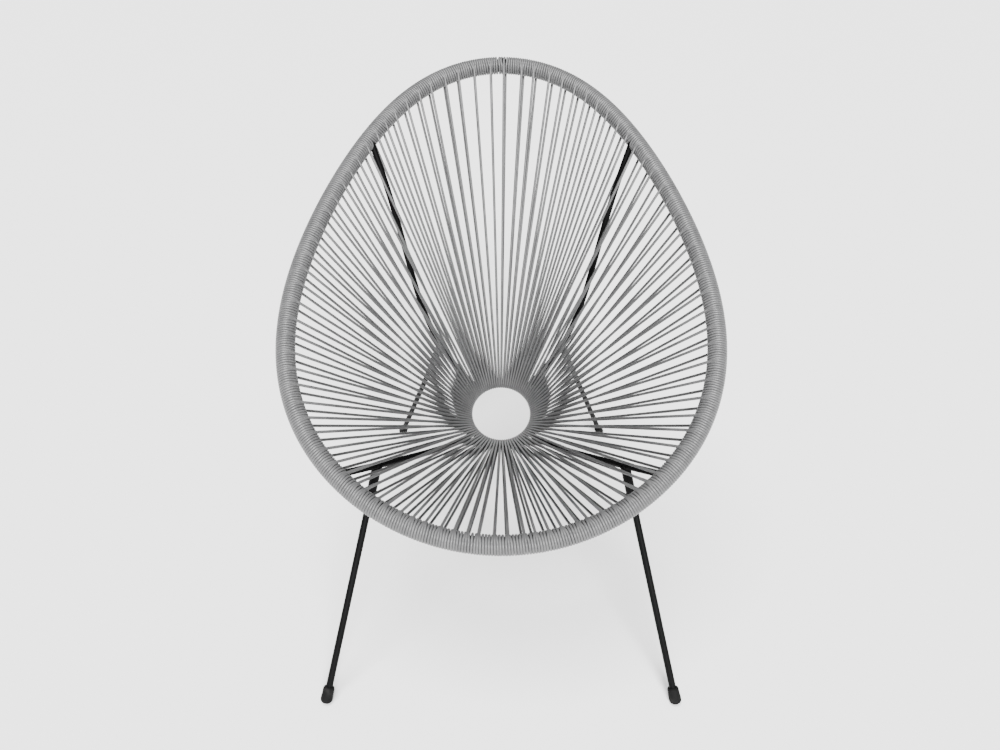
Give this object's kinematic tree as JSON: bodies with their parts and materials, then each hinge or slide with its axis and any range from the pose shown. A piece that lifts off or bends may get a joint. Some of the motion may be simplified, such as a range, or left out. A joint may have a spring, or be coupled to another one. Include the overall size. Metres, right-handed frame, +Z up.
{
  "type": "acapulco chair",
  "caption": "Lounge chair with an egg-shaped steel hoop, a bucket seat of taut cord strands strung to a small centre ring, and straight splayed legs with rubber caps.",
  "frame": {"origin": "middle of the footprint, on the floor", "axes": "+Z up, the front of the seat towards -Y, the sitter's left towards +X"},
  "size_m": [0.728, 0.7828, 0.8835],
  "materials": {
    "black_steel": "satin black powder coat",
    "cord": "smooth grey extruded plastic cord, satin",
    "foot_rubber": "moulded black rubber, matte"
  },
  "bodies": {
    "root": {"rim_tube": "black_steel", "centre_ring": "black_steel", "spoke_upper_right": "black_steel", "leg_socket_rear_right": "black_steel", "leg_rear_right": "black_steel", "foot_cap_rear_right": "foot_rubber", "spoke_lower_right": "black_steel", "leg_socket_front_right": "black_steel", "leg_front_right": "black_steel", "foot_cap_front_right": "foot_rubber", "spoke_upper_left": "black_steel", "leg_socket_rear_left": "black_steel", "leg_rear_left": "black_steel", "foot_cap_rear_left": "foot_rubber", "spoke_lower_left": "black_steel", "leg_socket_front_left": "black_steel", "leg_front_left": "black_steel", "foot_cap_front_left": "foot_rubber", "seat_cord_top_right_1": "cord", "seat_cord_top_right_2": "cord", "seat_cord_right_1": "cord", "seat_cord_right_2": "cord", "seat_cord_right_3": "cord", "seat_cord_bottom_1": "cord", "seat_cord_bottom_2": "cord", "seat_cord_bottom_3": "cord", "seat_cord_bottom_4": "cord", "seat_cord_left_1": "cord", "seat_cord_left_2": "cord", "seat_cord_left_3": "cord", "seat_cord_top_left_1": "cord", "seat_cord_top_left_2": "cord"}
  },
  "joints": []
}
